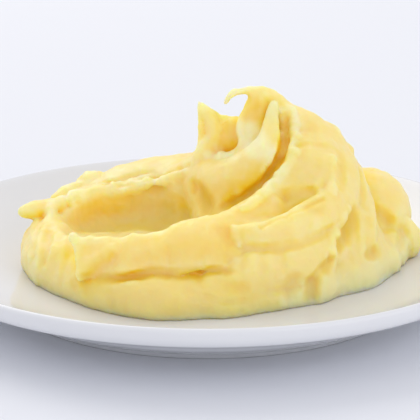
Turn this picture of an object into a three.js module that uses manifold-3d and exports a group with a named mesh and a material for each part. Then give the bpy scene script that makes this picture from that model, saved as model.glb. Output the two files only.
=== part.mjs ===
// Mashed potato side: a spooned swirl of mashed potato on its round white coupe plate.
// Millimetres, +Z up. The origin is the middle of the plate's foot, on the table.
import * as THREE from 'three'
import Module from 'manifold-3d'
import { mergeVertices } from 'three/addons/utils/BufferGeometryUtils.js'

const wasm = await Module()
wasm.setup()

// ---- driving dimensions ----
const plateRadius = 105
const rimHeight = 21.4
const rimRound = 1.5 // how far in from the edge the rim starts to turn over
const wellFloor = 6 // top of the plate's flat middle
const wellRadius = 58 // where the flat middle starts to rise
const riseCurve = 2.1 // how late the coupe turns up
const riseStep = 5 // between the rings of the rising part
const riseEnd = plateRadius - 4 // no ring further out than this
const footRadius = 74
const footWidth = 4
const footHollow = 2.2 // how far the underside inside the foot clears the table
const glazeGap = 0.3 // between the plate and the mash
const plateSides = 60

const skinCell = 2.75 // size of the mash's facets
const mashLow = [-74, -64, -5]
const mashHigh = [86, 58, 76]
const mashCellar = 1.5 // the mash is made down to here, then cut by the plate
const plateCellar = -8 // the shape that cuts it reaches down to here
const justInside = -0.3 // value given to a sample that is moved into the mash

// ---- plate ----
// Height of the plate's upper face at a distance from its middle.
function plateTop(radius) {
  const rise = Math.max(0, (radius - wellRadius) / (plateRadius - rimRound - wellRadius))
  return wellFloor + (rimHeight - wellFloor) * rise ** riseCurve
}

function upperFace(lift) {
  const points = [new THREE.Vector2(0, wellFloor + lift)]
  for (let radius = wellRadius; radius <= riseEnd; radius += riseStep) {
    points.push(new THREE.Vector2(radius, plateTop(radius) + lift))
  }
  return points
}

function turned(points) {
  const geometry = new THREE.LatheGeometry([...points].reverse(), plateSides)
  return geometry.rotateX(Math.PI / 2)
}

function plateShape() {
  const outside = [
    [plateRadius - rimRound, rimHeight], [plateRadius - 0.4, rimHeight - 0.2],
    [plateRadius, rimHeight - 1.2], [plateRadius - 0.2, rimHeight - 4],
    [plateRadius - rimRound, rimHeight - 5.4], [plateRadius - 8, 13.2], [plateRadius - 18, 7.2],
    [footRadius + 3, 2.6], [footRadius, 0], [footRadius - footWidth, 0],
    [footRadius - footWidth - 2, footHollow], [0, footHollow],
  ].map(([radius, height]) => new THREE.Vector2(radius, height))
  return turned([...upperFace(0), ...outside])
}

// ---- mash: soft shapes joined and cut as a spoon would ----
// A path through its points, each a row of numbers that is blended smoothly into the next.
function smoothPath(points, steps = 5) {
  const reach = (near, far) => near.map((value, i) => 2 * value - far[i])
  const last = points.length - 1
  const ends = [reach(points[0], points[1]), ...points, reach(points[last], points[last - 1])]
  const path = []
  for (let i = 1; i <= last; i++) {
    for (let step = 0; step < steps; step++) {
      const t = step / steps
      const [a, b, c, d] = ends.slice(i - 1, i + 3)
      path.push(b.map((value, k) => 0.5 * (2 * value + (c[k] - a[k]) * t
        + (2 * a[k] - 5 * value + 4 * c[k] - d[k]) * t ** 2
        + (3 * value - a[k] - 3 * c[k] + d[k]) * t ** 3)))
    }
  }
  path.push(points[last])
  return path
}

// An egg shape: middle and half sizes along X, Y and Z.
function lump(name, at, size, { soft = 3, cut = false } = {}) {
  const reach = Math.max(...size) + 8 + soft
  const distance = ([x, y, z]) => {
    const e = [(x - at[0]) / size[0], (y - at[1]) / size[1], (z - at[2]) / size[2]]
    const length = Math.hypot(...e) + 1e-6
    return ((length - 1) * length) / (Math.hypot(e[0] / size[0], e[1] / size[1], e[2] / size[2]) + 1e-6)
  }
  return { name, soft, cut, distance, low: at.map((v) => v - reach), high: at.map((v) => v + reach) }
}

// A roll or ribbon drawn along a path of [x, y, z, half width]. Below 1, flat thins it along face.
function stroke(name, points, { soft = 3, cut = false, flat = 1, face = [0, 0, 1], torn = null } = {}) {
  const path = smoothPath(points)
  const faces = Array.isArray(face[0]) ? smoothPath(face) : path.map(() => face)
  const spans = path.slice(1).map((end, i) => {
    const start = path[i]
    const along = [end[0] - start[0], end[1] - start[1], end[2] - start[2]]
    const length = Math.hypot(...along) + 1e-9
    const lean = faces[i].reduce((sum, v, k) => sum + (v * along[k]) / length, 0)
    const across = faces[i].map((v, k) => v - (lean * along[k]) / length)
    const size = Math.hypot(...across) + 1e-9
    return { start, along, length, across: across.map((v) => v / size), grow: end[3] - start[3] }
  })
  const distance = (p) => {
    let best = 1000
    for (const { start, along, length, across, grow } of spans) {
      const away = [p[0] - start[0], p[1] - start[1], p[2] - start[2]]
      const dot = away[0] * along[0] + away[1] * along[1] + away[2] * along[2]
      const t = Math.min(1, Math.max(0, dot / length ** 2))
      const off = [away[0] - t * along[0], away[1] - t * along[1], away[2] - t * along[2]]
      const wide = off[0] ** 2 + off[1] ** 2 + off[2] ** 2
      const thin = (off[0] * across[0] + off[1] * across[1] + off[2] * across[2]) ** 2
      const e = Math.sqrt(wide - thin + thin / flat ** 2) + 1e-6
      const g = Math.sqrt(wide - thin + thin / flat ** 4) + 1e-6
      best = Math.min(best, ((e - start[3] - grow * t) * e) / g)
    }
    return torn ? join(best, -torn.distance(p), -torn.soft) : best
  }
  const reach = Math.max(...points.map((point) => point[3])) + 8 + soft
  const low = [0, 1, 2].map((k) => Math.min(...points.map((point) => point[k])) - reach)
  const high = [0, 1, 2].map((k) => Math.max(...points.map((point) => point[k])) + reach)
  return { name, soft, cut, distance, low, high }
}

// Joins two distances with a fillet; a negative softness cuts instead.
function join(a, b, soft) {
  if (soft < 0) return -join(-a, -b, -soft)
  if (soft === 0) return Math.min(a, b)
  const mix = Math.min(1, Math.max(0, 0.5 + (0.5 * (b - a)) / soft))
  return b * (1 - mix) + a * mix - soft * mix * (1 - mix)
}

const tornEnd = lump('torn end', [-74, -44, 8], [32.5, 40, 42], { soft: 0.6 })

const heaped = [
  lump('left heap', [-14, -2, 4], [50, 45, 19], { soft: 0 }),
  lump('right heap', [26, 0, 6], [41, 38, 26], { soft: 8 }),
  stroke('back roll', [[-50, 20, 15, 9.5], [-34, 29, 21, 12.5], [-8, 29, 25.5, 14.5], [30, 24, 26, 17]],
    { soft: 5 }),
  stroke('far wall', [[-48, 0, 14, 8.5], [-46, 10, 18, 9], [-37, 20, 21.5, 10], [-20, 23, 22.5, 11],
    [-4, 20, 26, 13]]),
  lump('left shoulder', [-43, -6, 12], [22, 26, 13], { soft: 4 }),
  lump('back skirt', [0, 34, 8], [48, 16, 18], { soft: 6 }),
  stroke('bottom roll', [[-46, 20, 12, 9], [-57, 4, 12.5, 10.3], [-53.5, -12, 11.5, 10],
    [-44, -27.5, 10, 9.6], [-33, -39, 9.5, 9.6], [-19, -46, 9, 10], [-4, -46.5, 9, 10],
    [12, -43.5, 9, 9.8], [36, -32, 10, 8.8]], { soft: 2.5 }),
  lump('right front', [20, -33, 20], [22, 12, 13], { soft: 4 }),
  stroke('cone', [[30, -2, 12, 32], [32, 1, 30, 25], [35, 4, 40, 17.5], [35.5, 6, 47, 12.5],
    [31, 7, 55, 7.6], [27.5, 7, 61, 3.6]], { soft: 5 }),
  lump('top shoulder', [39.5, 9, 53], [7.2, 7, 4], { soft: 0.8 }),
  lump('middle shoulder', [44.5, 8, 46], [7.8, 8, 4], { soft: 0.8 }),
  lump('low shoulder', [46, 8, 41.5], [8, 9, 5], { soft: 1.2 }),
  stroke('scooped valley', [[-31, -5, 30.5, 24], [-16, -5, 31, 24], [-3, -10, 36.5, 20],
    [8, -16, 42, 15.5], [16, -15, 47, 9]], { cut: true, soft: 2, flat: 0.6, face: [0, -0.12, 1] }),
  stroke('far undercut', [[-47, 2, 23.5, 5], [-42.5, 8, 22.5, 6], [-33, 11, 22.5, 7],
    [-19, 11.5, 23.5, 7], [-11, 8.5, 25.5, 6]], { cut: true }),
  lump('right lobe', [57, 18, 19], [18, 19, 18.5], { soft: 1.2 }),
  lump('lobe root', [46, 25, 12], [17, 16, 14], { soft: 4 }),
  lump('low right lobe', [60, 6, 11], [13.5, 15, 10], { soft: 1.5 }),
  stroke('right skirt', [[36, -31, 9, 6], [48, -21, 9.5, 7.4], [61, -7, 10, 7.6]], { soft: 1.5 }),
]

const drawn = [
  lump('valley end', [10, 1, 24], [14, 14, 13], { soft: 7 }),
  stroke('wall bend', [[-7.5, 20, 30.5, 8], [-3, 15.5, 30.5, 8], [0.5, 10, 30.5, 8]], { soft: 5 }),
  stroke('inner ridge', [[-12.5, 17, 32.5, 2.4], [-5.5, 14, 35.5, 4.2], [-0.5, 9, 36.5, 6.8],
    [5, 3, 36, 8.8], [10, -2, 37.5, 9.2], [15.5, -5, 42.5, 8], [20.5, -6.5, 49, 6.4],
    [22, -3.5, 56.5, 3.4], [23, 2, 64, 1.9]], { soft: 4 }),
  stroke('trench', [[26, 1, 65.5, 2.8], [27, 1, 62, 3.2], [27, -1.5, 57, 3.8], [26.5, -9.5, 52.5, 4.6],
    [23.5, -14.5, 47, 4.6], [19.5, -15, 41.5, 4.2], [15.5, -15, 38, 4], [10.5, -14, 34, 4],
    [6, -13, 32, 3.4]], { cut: true, soft: 1, flat: 0.42, face: [[1, 0, 0], [1, 0, 0], [1, 0, 0],
    [1, 0, -0.2], [0.8, 0, -0.6], [0.75, 0, -0.65], [0.6, 0, -0.8], [0.5, 0, -0.9], [0.3, 0, -0.95]] }),
  stroke('slot under the flap', [[-43, -44, 15.5, 2], [-38, -47.5, 17, 2.4], [-29.5, -50.5, 18, 2.6],
    [-18.5, -51.5, 20.5, 2.6], [-11.5, -52, 20, 2.6], [-6, -52.5, 21, 2.6], [-1, -51, 20.5, 2.4],
    [3.5, -50, 20.5, 2.2], [8, -48, 20, 2]], { cut: true, soft: 1, flat: 0.24, face: [0, -0.25, 0.97] }),
  stroke('front flap', [[-45.5, -39.5, 21, 7], [-38, -42, 21.5, 6.8], [-31, -44, 22.5, 6.8],
    [-19, -45, 24.5, 6.9], [-12, -45, 25, 7.8], [-3.5, -42.5, 27, 9.2], [5, -38.5, 26.5, 9.9],
    [14, -32, 28.5, 10.2], [23, -25, 32.5, 10]], { soft: 1, flat: 0.4, face: [0.05, -0.75, 0.66],
    torn: tornEnd }),
  stroke('dent in the flap', [[-37.5, -50, 20, 2.6], [-33, -49.5, 23.5, 3], [-28, -48.5, 27, 2.2]],
    { cut: true, soft: 2.5 }),
  stroke('upper ribbon', [[10, -39.5, 29, 3.8], [18, -39.5, 29, 5], [26.5, -36, 30, 6],
    [36.5, -29, 32.5, 6.8], [45.5, -17, 35, 7.2], [50.5, -4, 39, 6]], { soft: 1.2, flat: 0.6,
    face: [[0, -0.85, 0.5], [0, -0.85, 0.5], [0.15, -0.85, 0.5], [0.4, -0.8, 0.5], [0.8, -0.5, 0.4],
    [1, -0.1, 0.3]] }),
  stroke('lower ribbon', [[-1, -48, 14, 4], [6.5, -47.5, 16, 5.5], [15.5, -45.5, 18.5, 7],
    [26.5, -41.5, 20, 7.6], [35.5, -35.5, 21.5, 7.6], [41.5, -28, 24, 7]], { soft: 1.2, flat: 0.6,
    face: [[0, -0.9, 0.4], [0, -0.9, 0.4], [0, -0.9, 0.4], [0.3, -0.9, 0.4], [0.5, -0.8, 0.4],
    [0.8, -0.6, 0.3]] }),
  stroke('right roll', [[54.5, -2, 31, 4], [53, -10, 25.5, 6], [52, -16, 19.5, 6.5],
    [50, -21, 13.5, 5.5]], { soft: 1 }),
  stroke('far right bead', [[71.5, 8, 18.5, 3.6], [73.5, 6, 14.5, 4.4], [73, 5, 10.5, 3.6]],
    { soft: 1.5 }),
  stroke('beak', [[-56, 10, 24, 5], [-60.5, 7, 24.5, 4.6], [-63.5, 5, 25, 3.6], [-66, 4, 25, 2.5]],
    { soft: 1.2, flat: 0.85 }),
  stroke('left back fold', [[-56, 23, 24, 3.2], [-52.5, 26, 25.5, 3.8], [-48, 28, 26.5, 3.6]]),
  stroke('back fold', [[-47, 32, 28, 3.4], [-44.5, 32, 29, 3.8], [-39.5, 33, 25.5, 4.2],
    [-33, 33, 27, 4.8], [-27.5, 33, 27.5, 5], [-21, 31, 30, 4.4]], { soft: 2.5 }),
  stroke('high back fold', [[-24.5, 31, 32, 3.4], [-18, 31, 33.5, 4.2], [-11, 28, 32, 4],
    [-5.5, 23, 31, 4.2]], { soft: 2.5 }),
  stroke('fin root', [[-15.5, 26, 32.5, 3.8], [-9.5, 20, 34, 3.8], [-4.5, 15, 38.5, 4.8],
    [0.5, 12, 42, 6]]),
  stroke('far lip', [[-56.5, -2, 23, 1.5], [-55.5, 5.5, 26.5, 1.7], [-51, 11.5, 28.5, 1.8],
    [-45.5, 15.5, 29, 1.8], [-37, 17.5, 29, 1.8], [-26.5, 17.5, 30.5, 1.8]], { soft: 2 }),
  stroke('rising lip', [[-28, 18, 31, 1.6], [-20.5, 16.5, 32.5, 1.8], [-14, 14.5, 34.5, 1.8],
    [-8.5, 12, 37.5, 1.8], [-4.5, 10, 41, 1.8], [-0.5, 8, 44, 1.6]], { soft: 1.2 }),
  stroke('near lip', [[-44, -35.5, 27, 1.4], [-38.5, -37.5, 26.5, 1.4], [-33, -39.5, 27.5, 1.5],
    [-27, -40, 27.5, 1.5], [-19.5, -40.5, 29, 1.5], [-12.5, -39.5, 30, 1.6], [-4.5, -36.5, 32.5, 1.6],
    [1.5, -34.5, 33, 1.6], [7, -32, 33, 1.6], [12, -28.5, 35, 1.6], [16, -25, 37, 1.7],
    [20, -20, 39, 1.7], [24, -14.5, 41.5, 1.7], [27.5, -11, 45.5, 1.7], [30.5, -6, 51, 1.6]],
    { soft: 1.5 }),
  stroke('fin', [[-3, 14, 62.5, 1], [-1, 14, 57.5, 3], [1, 13, 51, 5.4], [1, 12, 43, 7]], { soft: 1.2,
    flat: 0.42, face: [0.6, -0.8, 0] }),
  stroke('fin face', [[-0.5, 12.5, 59.5, 1.8], [2, 11, 56, 2.8], [2.5, 9.5, 51.5, 3], [0, 9, 47, 3.6],
    [-1.5, 9.5, 43.5, 4]], { soft: 1.5, flat: 0.5, face: [0.35, -0.9, 0.1] }),
  stroke('cup back', [[-1.5, 14.5, 60, 1.3], [2.5, 13.5, 57.5, 2.2], [8, 11.5, 54.5, 3.8],
    [14, 9, 53.5, 5.4]], { soft: 1.5, flat: 0.34, face: [0.1, -1, 0] }),
  stroke('cup bottom', [[2.5, 13, 47, 5.5], [8, 11, 48.5, 7.5], [15, 7, 51.5, 7.5]], { soft: 2, flat: 0.5,
    face: [0, -1, 0.1] }),
  stroke('cup lip', [[0, 8, 44, 1.8], [5, 5, 44.5, 2.1], [10.5, 2, 47, 2], [15, 0, 50.5, 1.6]],
    { soft: 1.5 }),
  stroke('curl', [[29, 7, 60, 4.2], [24.5, 7, 64, 3.9], [20.5, 7, 67.5, 2.8], [15.5, 7, 68.5, 2.1],
    [11.5, 6, 68.5, 1.8], [8, 5, 67.5, 1.5], [6.5, 5, 65, 1.2]], { soft: 1.2, flat: 0.8 }),
  stroke('curl root', [[18.5, 6.5, 66, 3.8], [17, 6, 62, 4.8], [15.5, 5, 56.5, 5.4]], { soft: 2,
    flat: 0.5, face: [0.1, -1, 0] }),
  stroke('curl panel', [[21, 7, 64, 2.4], [20, 6, 59.5, 3.8], [18, 3.5, 55, 4.6]], { soft: 1.5, flat: 0.7,
    face: [0.1, -1, 0] }),
  stroke('cup step', [[15.5, 5, 55, 3], [14.5, 3, 51.5, 3.4], [13.5, 1, 48.5, 3]], { soft: 2 }),
]

// Below zero inside the mash, in millimetres near its face.
function mashField(point) {
  let value = 60
  for (const { distance, soft, cut, low, high } of [...heaped, ...drawn]) {
    if (point.some((v, k) => v < low[k] || v > high[k])) continue
    value = cut ? join(value, -distance(point), -soft) : join(value, distance(point), soft)
  }
  return Math.max(value, mashCellar - point[2])
}

// ---- skin: a closed mesh over a field, one corner in each cell that the face crosses ----
const cube = [0, 1, 2, 3, 4, 5, 6, 7].map((i) => [i & 1, (i >> 1) & 1, (i >> 2) & 1])

// Whether the corners of a cube that share a sign fall apart into two groups.
function tangled(signs) {
  return [0, 1].some((sign) => {
    const group = cube.map((_, i) => i).filter((i) => ((signs >> i) & 1) === sign)
    const reached = new Set(group.slice(0, 1))
    for (const i of reached) for (const bit of [1, 2, 4]) if (group.includes(i ^ bit)) reached.add(i ^ bit)
    return reached.size < group.length
  })
}
const tangles = Array.from({ length: 256 }, (_, signs) => tangled(signs))

// Fills single samples until no cell holds two separate pieces of the face.
function untangle({ count, at, values }) {
  for (let found = true; found;) {
    found = false
    for (let k = 0; k < count[2] - 1; k++) {
      for (let j = 0; j < count[1] - 1; j++) {
        for (let i = 0; i < count[0] - 1; i++) {
          const corners = cube.map(([a, b, c]) => at(i + a, j + b, k + c))
          if (!tangles[corners.reduce((bits, n, bit) => bits | ((values[n] < 0) << bit), 0)]) continue
          const outside = corners.filter((n) => values[n] >= 0)
          values[outside.reduce((best, n) => (values[n] < values[best] ? n : best))] = justInside
          found = true
        }
      }
    }
  }
}

// Every sample that can be reached from one without crossing the face.
function flooded({ count, values }, from) {
  const reached = new Uint8Array(values.length)
  const waiting = [from]
  reached[from] = 1
  const strides = [1, count[0], count[0] * count[1]]
  while (waiting.length) {
    const here = waiting.pop()
    for (const stride of [...strides, ...strides.map((v) => -v)]) {
      const next = here + stride
      if (next < 0 || next >= values.length || reached[next]) continue
      if (values[next] < 0 !== values[here] < 0) continue
      reached[next] = 1
      waiting.push(next)
    }
  }
  return reached
}

// Fills sealed hollows and drops loose scraps, so that one body is left.
function keepOneBody(samples) {
  const { values } = samples
  const open = flooded(samples, 0)
  values.forEach((value, n) => { if (value >= 0 && !open[n]) values[n] = justInside })
  const deepest = values.reduce((best, value, n) => (value < values[best] ? n : best), 0)
  const body = flooded(samples, deepest)
  values.forEach((value, n) => { if (value < 0 && !body[n]) values[n] = -justInside })
}

function sampledField(field, low, high, cell) {
  const count = low.map((v, k) => Math.ceil((high[k] - v) / cell) + 1)
  const at = (i, j, k) => i + count[0] * (j + count[1] * k)
  const values = new Float64Array(count[0] * count[1] * count[2])
  for (let k = 0; k < count[2]; k++) {
    for (let j = 0; j < count[1]; j++) {
      for (let i = 0; i < count[0]; i++) {
        values[at(i, j, k)] = field([i, j, k].map((n, axis) => low[axis] + n * cell))
      }
    }
  }
  return { count, at, values }
}

// Walks a corner straight onto the face, no further than part of a cell.
function settled(field, corner, cell) {
  const step = 0.2
  for (let round = 0; round < 4; round++) {
    const slope = [0, 1, 2].map((k) => {
      const ahead = [...corner]
      const behind = [...corner]
      ahead[k] += step
      behind[k] -= step
      return (field(ahead) - field(behind)) / (2 * step)
    })
    const steep = Math.max(0.25, slope[0] ** 2 + slope[1] ** 2 + slope[2] ** 2)
    const move = slope.map((v) => (-field(corner) * v) / steep)
    const far = Math.min(1, (0.3 * cell) / (Math.hypot(...move) + 1e-9))
    corner = corner.map((v, k) => v + move[k] * far)
  }
  return corner
}

function skin(field, low, high, cell) {
  const samples = sampledField(field, low, high, cell)
  keepOneBody(samples)
  untangle(samples)
  keepOneBody(samples)
  const { count, at, values } = samples
  const corners = []
  const cornerOf = new Map()
  const cornerAt = (i, j, k) => {
    const key = at(i, j, k)
    if (!cornerOf.has(key)) {
      const sum = [0, 0, 0]
      let crossings = 0
      for (const from of cube) {
        for (let axis = 0; axis < 3; axis++) {
          if (from[axis]) continue
          const to = from.map((v, n) => (n === axis ? 1 : v))
          const a = values[at(i + from[0], j + from[1], k + from[2])]
          const b = values[at(i + to[0], j + to[1], k + to[2])]
          if (a < 0 === b < 0) continue
          const t = a / (a - b)
          from.forEach((v, n) => { sum[n] += v + t * (to[n] - v) })
          crossings++
        }
      }
      const index = [i, j, k]
      const middle = sum.map((v, n) => low[n] + (index[n] + v / crossings) * cell)
      cornerOf.set(key, corners.push(settled(field, middle, cell)) - 1)
    }
    return cornerOf.get(key)
  }
  const triangles = []
  for (let axis = 0; axis < 3; axis++) {
    const [u, v] = [(axis + 1) % 3, (axis + 2) % 3]
    for (let k = 1; k < count[2] - 1; k++) {
      for (let j = 1; j < count[1] - 1; j++) {
        for (let i = 1; i < count[0] - 1; i++) {
          const here = [i, j, k]
          const next = [...here]
          next[axis]++
          const inside = values[at(...here)] < 0
          if (inside === values[at(...next)] < 0) continue
          const ring = [[1, 1], [0, 1], [0, 0], [1, 0]].map(([du, dv]) => {
            const index = [...here]
            index[u] -= du
            index[v] -= dv
            return cornerAt(...index)
          })
          if (!inside) ring.reverse()
          const [a, b, c, d] = ring
          const span = (p, q) => Math.hypot(...corners[p].map((value, n) => value - corners[q][n]))
          triangles.push(...(span(a, c) <= span(b, d) ? [a, b, c, a, c, d] : [b, c, d, b, d, a]))
        }
      }
    }
  }
  const geometry = new THREE.BufferGeometry()
  geometry.setAttribute('position', new THREE.Float32BufferAttribute(corners.flat(), 3))
  geometry.setIndex(triangles)
  return geometry
}

// ---- joining and cutting ----
function solid(geometry) {
  const bare = geometry.clone()
  bare.deleteAttribute('normal')
  bare.deleteAttribute('uv')
  const merged = mergeVertices(bare, 1e-4)
  return new wasm.Manifold(new wasm.Mesh({
    numProp: 3,
    vertProperties: new Float32Array(merged.attributes.position.array),
    triVerts: new Uint32Array(merged.index.array),
  }))
}

function geometryOf(body) {
  const { vertProperties, triVerts } = body.getMesh()
  const geometry = new THREE.BufferGeometry()
  geometry.setAttribute('position', new THREE.BufferAttribute(vertProperties, 3))
  geometry.setIndex(new THREE.BufferAttribute(triVerts, 1))
  geometry.computeVertexNormals()
  return geometry
}

// Everything under the plate's upper face, up to the glaze gap.
function underMash() {
  const edge = [new THREE.Vector2(riseEnd, plateCellar), new THREE.Vector2(0, plateCellar)]
  return turned([...upperFace(glazeGap), ...edge])
}

function mashShape() {
  const whole = solid(skin(mashField, mashLow, mashHigh, skinCell))
  return geometryOf(whole.subtract(solid(underMash())))
}

function piece(name, geometry, material) {
  const mesh = new THREE.Mesh(geometry, new THREE.MeshStandardMaterial({ metalness: 0, ...material }))
  mesh.name = name
  return mesh
}

const mashedPotatoSide = new THREE.Group()
mashedPotatoSide.add(piece('plate', plateShape(), { color: 0xf1f2f5, roughness: 0.12 }))
mashedPotatoSide.add(piece('mash', mashShape(), { color: 0xf3dd8c, roughness: 0.5 }))

export default mashedPotatoSide
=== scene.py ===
import math
import bpy
import numpy as np
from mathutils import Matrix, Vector


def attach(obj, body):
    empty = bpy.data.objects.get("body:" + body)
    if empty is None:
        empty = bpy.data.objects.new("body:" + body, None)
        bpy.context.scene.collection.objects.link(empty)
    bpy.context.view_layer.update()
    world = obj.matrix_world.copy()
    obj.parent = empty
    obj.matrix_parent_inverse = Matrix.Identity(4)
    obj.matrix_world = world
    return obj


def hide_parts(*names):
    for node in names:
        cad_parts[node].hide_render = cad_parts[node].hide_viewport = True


# Mashed potato side: a spooned swirl of buttery mash on a white porcelain coupe plate.
# Sizes in the dictionaries are millimetres unless a note says otherwise.
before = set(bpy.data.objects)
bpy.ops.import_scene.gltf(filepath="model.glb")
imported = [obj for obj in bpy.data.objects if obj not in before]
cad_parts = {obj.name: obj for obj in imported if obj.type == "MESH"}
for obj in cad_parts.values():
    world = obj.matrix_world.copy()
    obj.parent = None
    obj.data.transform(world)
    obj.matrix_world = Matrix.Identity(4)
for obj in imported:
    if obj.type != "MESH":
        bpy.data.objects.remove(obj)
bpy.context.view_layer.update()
mm = 0.001
print("frame loaded", len(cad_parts), "solids")


def linear(hexColour):
    # sRGB hex to the linear values that Blender works in
    parts = [int(hexColour[i:i + 2], 16) / 255 for i in (1, 3, 5)]
    return tuple(c / 12.92 if c <= 0.04045 else ((c + 0.055) / 1.055) ** 2.4 for c in parts) + (1.0,)


def addNode(tree, kind, settings=None, links=None):
    # settings: a property's name, or an input's name or number, and its value
    node = tree.nodes.new(kind)
    for name, value in (settings or {}).items():
        if isinstance(name, str) and hasattr(node, name):
            setattr(node, name, value)
        else:
            node.inputs[name].default_value = value
    for name, source in (links or {}).items():
        tree.links.new(source, node.inputs[name])
    return node


def newMaterial(name):
    material = bpy.data.materials.new(name)
    material.use_nodes = True
    material.node_tree.nodes.clear()
    return material, material.node_tree


def addPiece(name, mesh, body, node):
    piece = bpy.data.objects.new(name, mesh)
    bpy.context.scene.collection.objects.link(piece)
    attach(piece, body)
    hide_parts(node)
    return piece


# a coupe plate for a side dish
plateLook = {
    "rimRadius": 105.0, "rimHeight": 21.4,
    "rimTurn": 1.5,  # how far in from the edge the coupe's curve ends
    "lipRound": 1.4,  # radius of the rounded lip
    "wellRadius": 58.0, "wellFloor": 6.0,  # the flat middle
    "riseCurve": 2.1,  # how late the coupe turns up
    "footRadius": 74.0, "footWidth": 4.0,
    "bodyUnder": 2.2,  # how far the base inside the foot clears the table
    "stepsRound": 160,
    "porcelain": "#E6E7EA", "porcelainShade": "#E2E3E7", "clayPatch": 30.0,
    "glazeRoughness": 0.07, "glazeIor": 1.5, "glazeWave": 9.0, "glazeWaveHeight": 0.06,
}


def plateTop(radius):
    # height of the upper face
    look = plateLook
    reach = look["rimRadius"] - look["rimTurn"] - look["wellRadius"]
    rise = np.clip((np.asarray(radius, float) - look["wellRadius"]) / reach, 0, None)
    return look["wellFloor"] + (look["rimHeight"] - look["wellFloor"]) * rise ** look["riseCurve"]


def plateProfile():
    # from the middle of the well, over the rim and back in under the foot, as (radius, height)
    look = plateLook
    rim, top, foot = look["rimRadius"], look["rimHeight"], look["footRadius"]
    footInside = foot - look["footWidth"]
    curve = look["lipRound"]
    well = [(r, float(plateTop(r))) for r in np.linspace(0.0, look["wellRadius"], 5)]
    coupe = [(r, float(plateTop(r))) for r in np.linspace(look["wellRadius"] + 3, rim - 1.9, 20)]
    # the rounded lip, a quarter turn out of the upper face, then the band under it
    lip = [(rim - curve + curve * math.sin(a), top - curve + curve * math.cos(a))
           for a in np.linspace(0.15, math.pi / 2, 7)]
    band = [(rim - 0.1, top - 3.2), (rim - 0.5, top - 4.6),
            (rim - 1.3, top - 5.6), (rim - 2.6, top - 6.4)]
    wall = [(rim - 8, 13.2), (rim - 13, 10.1), (rim - 18, 7.4), (rim - 23, 5.0),
            (foot + 3.4, 3.0), (foot + 1.3, 1.6)]
    ring = [(foot + 0.5, 0.5), (foot - 0.2, 0.0), (footInside + 0.6, 0.0),
            (footInside, 0.4), (footInside - 1.6, look["bodyUnder"])]
    base = [(foot * share, look["bodyUnder"]) for share in (0.85, 0.6, 0.3, 0.0)]
    return well + coupe + lip + band + wall + ring + base


def turningTree(profileCount):
    # turns the profile that comes in, one column of a grid for each step round the middle
    tree = bpy.data.node_groups.new("turned on a wheel", "GeometryNodeTree")
    tree.interface.new_socket("Profile", in_out="INPUT", socket_type="NodeSocketGeometry")
    stepsSocket = tree.interface.new_socket("Steps round", in_out="INPUT", socket_type="NodeSocketInt")
    finishSocket = tree.interface.new_socket("Finish", in_out="INPUT", socket_type="NodeSocketMaterial")
    tree.interface.new_socket("Turned body", in_out="OUTPUT", socket_type="NodeSocketGeometry")
    entry = addNode(tree, "NodeGroupInput")
    steps = entry.outputs["Steps round"]
    columns = addNode(tree, "ShaderNodeMath", {"operation": "ADD", 1: 1.0}, {0: steps})
    grid = addNode(tree, "GeometryNodeMeshGrid", {"Vertices Y": profileCount},
                   {"Vertices X": columns.outputs[0]})
    index = addNode(tree, "GeometryNodeInputIndex").outputs[0]
    row = addNode(tree, "ShaderNodeMath", {"operation": "MODULO", 1: float(profileCount)}, {0: index})
    across = addNode(tree, "ShaderNodeMath", {"operation": "DIVIDE", 1: float(profileCount)}, {0: index})
    column = addNode(tree, "ShaderNodeMath", {"operation": "FLOOR"}, {0: across.outputs[0]})
    share = addNode(tree, "ShaderNodeMath", {"operation": "DIVIDE"}, {0: column.outputs[0], 1: steps})
    turn = addNode(tree, "ShaderNodeMath", {"operation": "MULTIPLY", 1: 2 * math.pi},
                   {0: share.outputs[0]})
    place = addNode(tree, "GeometryNodeInputPosition").outputs[0]
    sample = addNode(tree, "GeometryNodeSampleIndex", {"data_type": "FLOAT_VECTOR", "domain": "POINT"},
                     {"Geometry": entry.outputs["Profile"], "Value": place, "Index": row.outputs[0]})
    turned = addNode(tree, "ShaderNodeVectorRotate", {"rotation_type": "Z_AXIS"},
                     {"Vector": sample.outputs[0], "Angle": turn.outputs[0]})
    moved = addNode(tree, "GeometryNodeSetPosition", None,
                    {"Geometry": grid.outputs["Mesh"], "Position": turned.outputs[0]})
    welded = addNode(tree, "GeometryNodeMergeByDistance", {"Distance": 0.01 * mm},
                     {"Geometry": moved.outputs[0]})
    smooth = addNode(tree, "GeometryNodeSetShadeSmooth", None, {"Geometry": welded.outputs[0]})
    real = addNode(tree, "GeometryNodeRealizeInstances", None, {"Geometry": smooth.outputs[0]})
    finish = addNode(tree, "GeometryNodeSetMaterial", None,
                     {"Geometry": real.outputs[0], "Material": entry.outputs["Finish"]})
    addNode(tree, "NodeGroupOutput", None, {0: finish.outputs[0]})
    return tree, stepsSocket.identifier, finishSocket.identifier


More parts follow.
